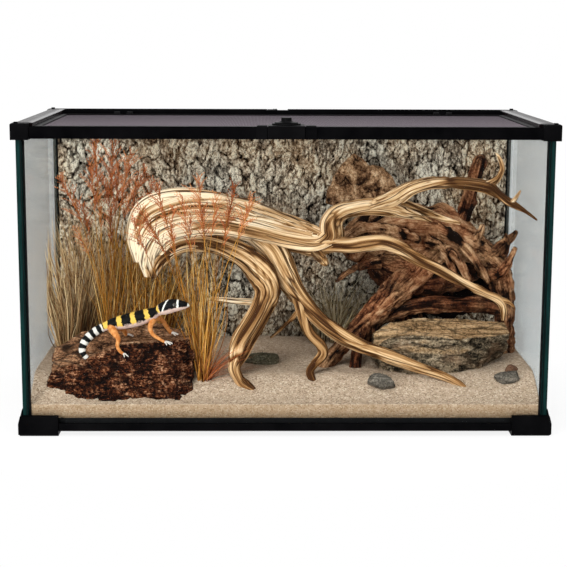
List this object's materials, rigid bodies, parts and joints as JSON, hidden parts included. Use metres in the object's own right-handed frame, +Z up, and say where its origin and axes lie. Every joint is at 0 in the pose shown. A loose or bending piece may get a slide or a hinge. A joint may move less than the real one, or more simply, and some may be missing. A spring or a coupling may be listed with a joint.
{
  "type": "reptile terrarium",
  "caption": "Glass terrarium with moulded rails and feet, a hinged screen lid with a cam lock, a sliding cable gate, and desert furnishing of sand, rocks, driftwood, grass and a gecko figure.",
  "frame": {"origin": "on the surface the feet stand on, under the middle of the tank", "axes": "+X to the viewer's right along the length, +Y to the rear, +Z up; the latch faces -Y"},
  "size_m": [0.6, 0.3, 0.356],
  "materials": {
    "black_plastic": "satin moulded ABS",
    "glass": "clear float glass with polished edges",
    "silicone": "black silicone sealant",
    "steel": "zinc-plated steel",
    "screen_wire": "black coated wire",
    "bark_background": "moulded foam relief",
    "sand": "fine desert sand",
    "red_rock": "rough stone",
    "grey_rock": "rough stone",
    "pebble": "water-worn stone",
    "driftwood": "weathered driftwood",
    "dark_wood": "weathered root wood",
    "bark": "dry bark",
    "straw": "dry grass",
    "golden_grass": "dry grass",
    "pale_grass": "dry grass",
    "plumes": "dry seed heads",
    "gecko_skin": "soft moulded figure"
  },
  "bodies": {
    "tank": {"front_glass": "glass", "rear_glass": "glass", "left_glass": "glass", "right_glass": "glass", "floor_glass": "glass", "corner_silicone": "silicone", "floor_silicone": "silicone", "base_rail_front": "black_plastic", "base_rail_rear": "black_plastic", "base_rail_left": "black_plastic", "base_rail_right": "black_plastic", "foot_front_left": "black_plastic", "foot_front_right": "black_plastic", "foot_rear_left": "black_plastic", "foot_rear_right": "black_plastic", "top_rail_front": "black_plastic", "top_rail_rear": "black_plastic", "top_rail_left": "black_plastic", "top_rail_right": "black_plastic", "corner_front_left": "black_plastic", "corner_front_right": "black_plastic", "corner_rear_left": "black_plastic", "corner_rear_right": "black_plastic", "latch_guides": "black_plastic", "hinge_pins": "steel", "background_panel": "bark_background", "sand_bed": "sand", "left_rock": "red_rock", "right_rock": "grey_rock", "pebbles": "pebble", "driftwood": "driftwood", "root_stump": "dark_wood", "bark_slab": "bark", "grass_left": "straw", "grass_golden": "golden_grass", "grass_pale": "pale_grass", "red_plumes": "plumes", "gecko_figure": "gecko_skin"},
    "lid": {"lid_frame": "black_plastic", "screen_mesh": "screen_wire", "screen_retainer": "black_plastic", "latch_plate": "black_plastic", "lock_seat": "black_plastic"},
    "lock": {"lock_knob": "black_plastic", "lock_cam": "steel", "cam_screw": "steel"},
    "gate": {"cable_gate": "black_plastic"}
  },
  "joints": [
    {"name": "lid_hinge", "type": "hinge", "parent": "tank", "child": "lid", "pos_m": [0, 0.1015, 0.346], "axis": [-1, 0, 0], "range_deg": [0, 125]},
    {"name": "lock_turn", "type": "hinge", "parent": "lid", "child": "lock", "pos_m": [0, -0.13, 0.348], "axis": [0, 0, 1], "range_deg": [-90, 0]},
    {"name": "gate_slide", "type": "slide", "parent": "tank", "child": "gate", "axis": [1, 0, 0], "range_m": [0, 0.013]}
  ]
}
